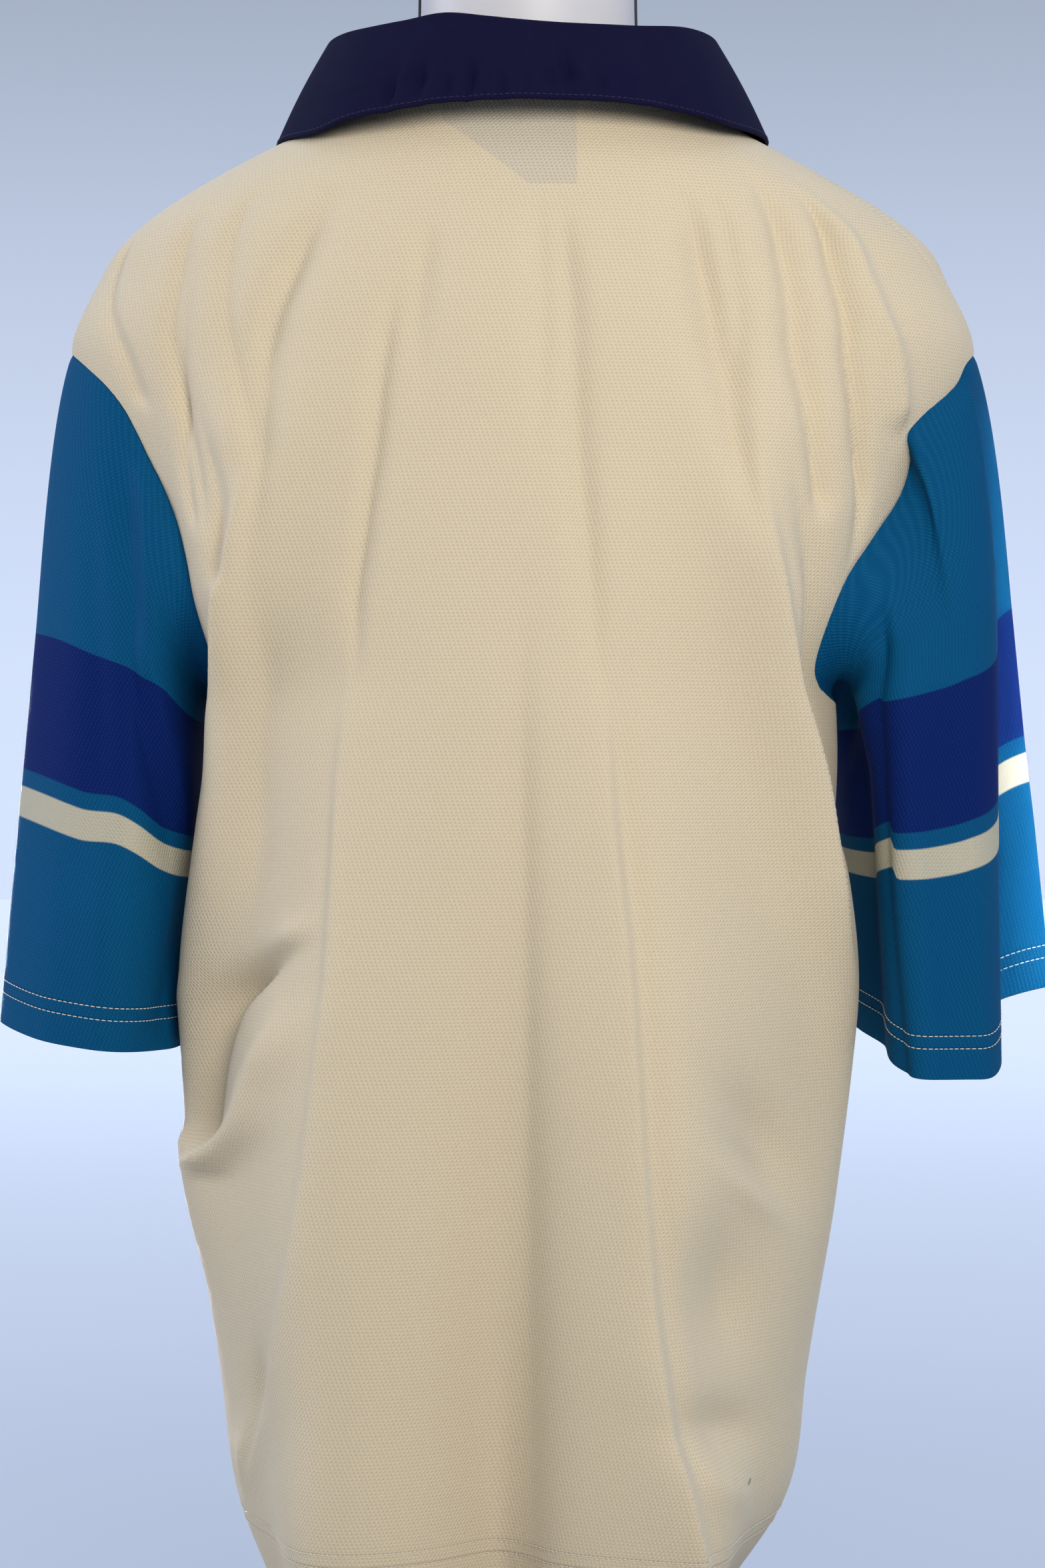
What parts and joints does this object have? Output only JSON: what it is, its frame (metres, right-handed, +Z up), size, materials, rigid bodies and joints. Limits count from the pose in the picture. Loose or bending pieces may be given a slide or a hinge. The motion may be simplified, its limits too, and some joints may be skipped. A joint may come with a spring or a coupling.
{
  "type": "football shirt on a dress form",
  "caption": "Cream mesh football shirt with a navy fold-over collar and banded teal sleeves, hung on a white limbless dress form.",
  "frame": {"origin": "centre of the base plate's underside, on the floor", "axes": "+Z up through the pole to the form's neck; the shirt's back faces -Y and its front +Y; +X is the wearer's right"},
  "size_m": [0.5985, 0.3009, 1.0123],
  "materials": {
    "cream_mesh": "matt birdseye mesh knit",
    "teal_mesh": "birdseye mesh knit with a slight sheen, a royal blue band and a cream stripe",
    "navy_cloth": "plain woven, slight sheen",
    "label_cloth": "plain woven, no print",
    "form_shell": "satin white",
    "trim_cord": "black cord",
    "steel": "brushed"
  },
  "bodies": {
    "root": {"back_panel": "cream_mesh", "front_panel": "cream_mesh", "sleeve_left": "teal_mesh", "sleeve_right": "teal_mesh", "collar": "navy_cloth", "neck_label": "label_cloth", "form_torso": "form_shell", "form_neck_cap": "form_shell", "form_trim_left": "trim_cord", "form_trim_right": "trim_cord", "stand_pole": "steel", "stand_base": "steel"}
  },
  "joints": []
}
